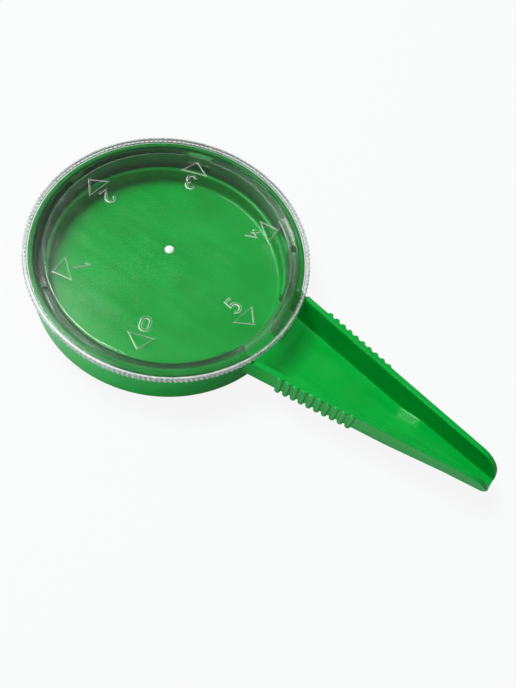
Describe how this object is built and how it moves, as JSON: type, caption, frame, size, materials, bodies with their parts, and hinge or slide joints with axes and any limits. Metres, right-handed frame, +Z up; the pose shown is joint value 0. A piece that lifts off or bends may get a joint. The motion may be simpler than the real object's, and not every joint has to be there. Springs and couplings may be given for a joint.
{
  "type": "dial seed sower",
  "caption": "Hand seed sower: a round green cup with a tapering trough and spout, closed by a clear turning dial lid whose skirt windows meter the seed.",
  "frame": {"origin": "under the middle of the whole sower, in the plane of the foot ring that it rests on; the cup's axis is 30.92 mm from it towards -X", "axes": "+Z up along the cup's axis, out of the dial; +X along the trough, towards the spout; +Y across the trough"},
  "size_m": [0.135, 0.073, 0.0157],
  "materials": {
    "green_plastic": "glossy injection-moulded polypropylene, mid green",
    "clear_plastic": "clear injection-moulded polystyrene, polished"
  },
  "bodies": {
    "sower_body": {"sower_body": "green_plastic"},
    "size_dial": {"size_dial": "clear_plastic"}
  },
  "joints": [
    {"name": "dial_turn", "type": "hinge", "parent": "sower_body", "child": "size_dial", "pos_m": [-0.03092, 0, 0.014], "axis": [0, 0, 1], "continuous": true}
  ]
}
